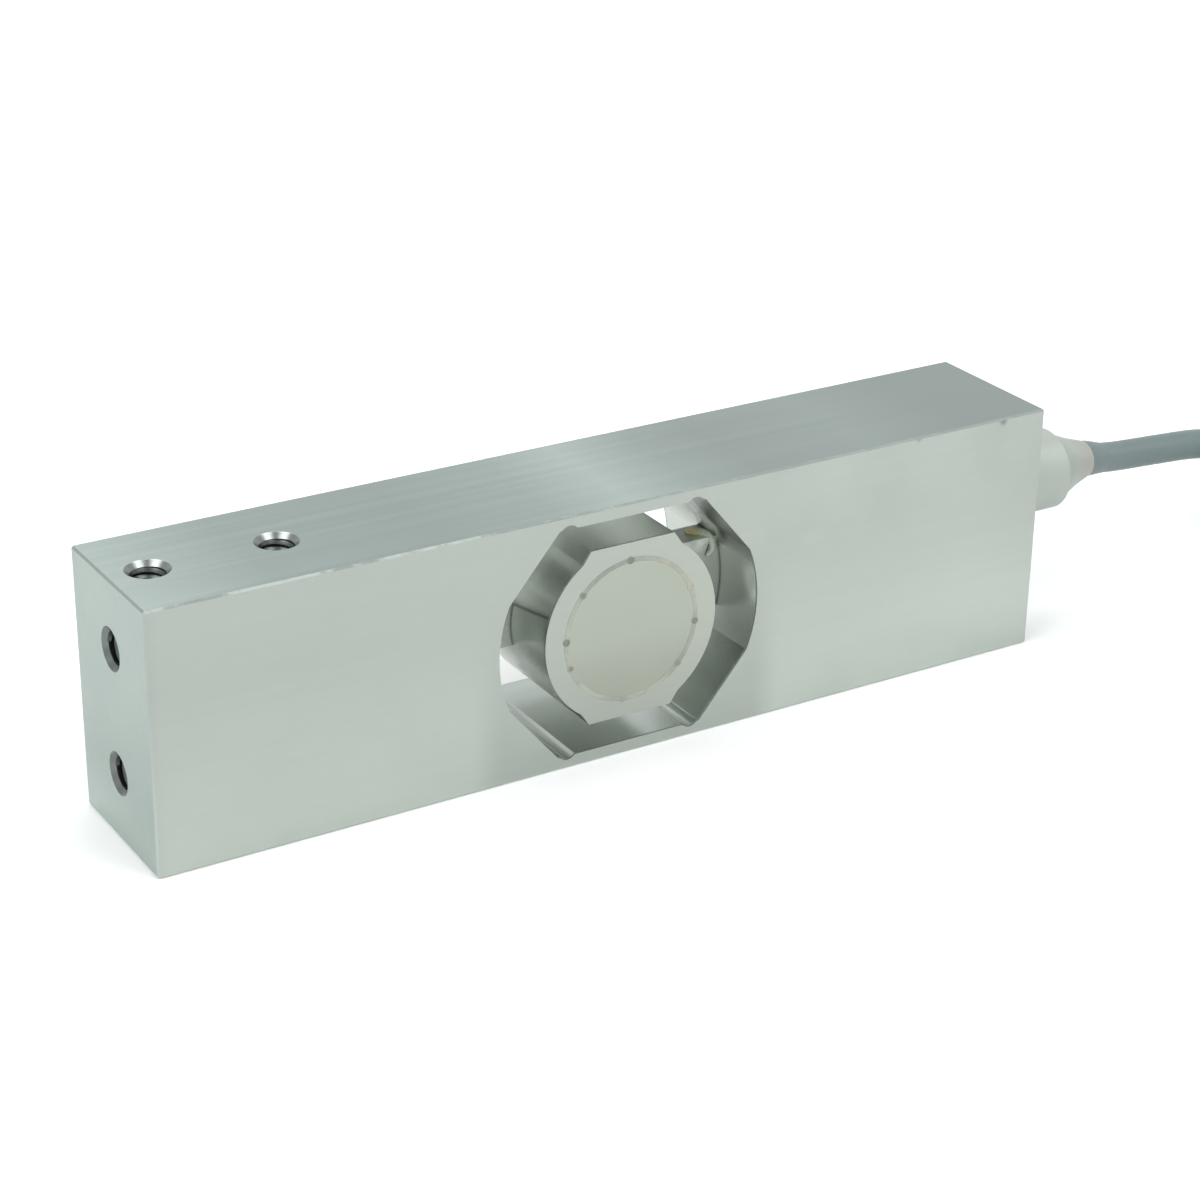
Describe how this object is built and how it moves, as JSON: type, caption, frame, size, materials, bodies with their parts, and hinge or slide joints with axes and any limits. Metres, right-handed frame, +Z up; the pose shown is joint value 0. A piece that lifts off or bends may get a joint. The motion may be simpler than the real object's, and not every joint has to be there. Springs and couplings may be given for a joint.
{
  "type": "single point load cell",
  "caption": "Steel bar load cell with a round sealed gauge boss in an octagonal opening, threaded mounting holes and a cable gland at one end.",
  "frame": {"origin": "centre of the block's bottom face", "axes": "+X along the block towards the cable, +Z up, the front face looks along -Y"},
  "size_m": [0.3264, 0.0462, 0.04],
  "materials": {
    "block_steel": "satin milled and ground stainless steel",
    "cover_steel": "fine brushed sheet, faint heat tint at the seam",
    "gland_steel": "turned satin",
    "cable_jacket": "satin grey jacket",
    "seal_rubber": "matt",
    "ferrule_brass": "plain turned",
    "potting_resin": "cast resin",
    "board": "solder-masked laminate",
    "resistor": "lacquered winding",
    "gauge_film": "amber film with foil grids",
    "lead_wire": "tinned wire",
    "tie_band": "woven black band",
    "shrink_sleeve": "satin shrink tube",
    "insulation_red": "wire insulation",
    "insulation_black": "wire insulation",
    "insulation_green": "wire insulation",
    "insulation_white": "wire insulation"
  },
  "bodies": {
    "root": {"beam": "block_steel", "front_cover": "cover_steel", "back_cover": "cover_steel", "terminal_board": "board", "zero_trim_resistor": "resistor", "span_trim_resistor": "resistor", "temperature_resistor": "resistor", "front_gauge": "gauge_film", "back_gauge": "gauge_film", "back_tab_strip": "board", "front_gauge_leads": "lead_wire", "back_gauge_leads": "lead_wire", "core_red": "insulation_red", "core_black": "insulation_black", "core_green": "insulation_green", "core_white": "insulation_white", "gland_body": "gland_steel", "gland_seal": "seal_rubber", "gland_washer": "gland_steel", "cable_ferrule": "ferrule_brass", "potting_plug": "potting_resin", "cable_inner_end": "cable_jacket", "cable": "cable_jacket", "cable_hank": "cable_jacket", "hank_ties": "tie_band", "cable_end_sleeve": "shrink_sleeve", "lead_red": "insulation_red", "lead_green": "insulation_green", "lead_shield": "lead_wire", "lead_white": "insulation_white", "lead_black": "insulation_black"}
  },
  "joints": []
}
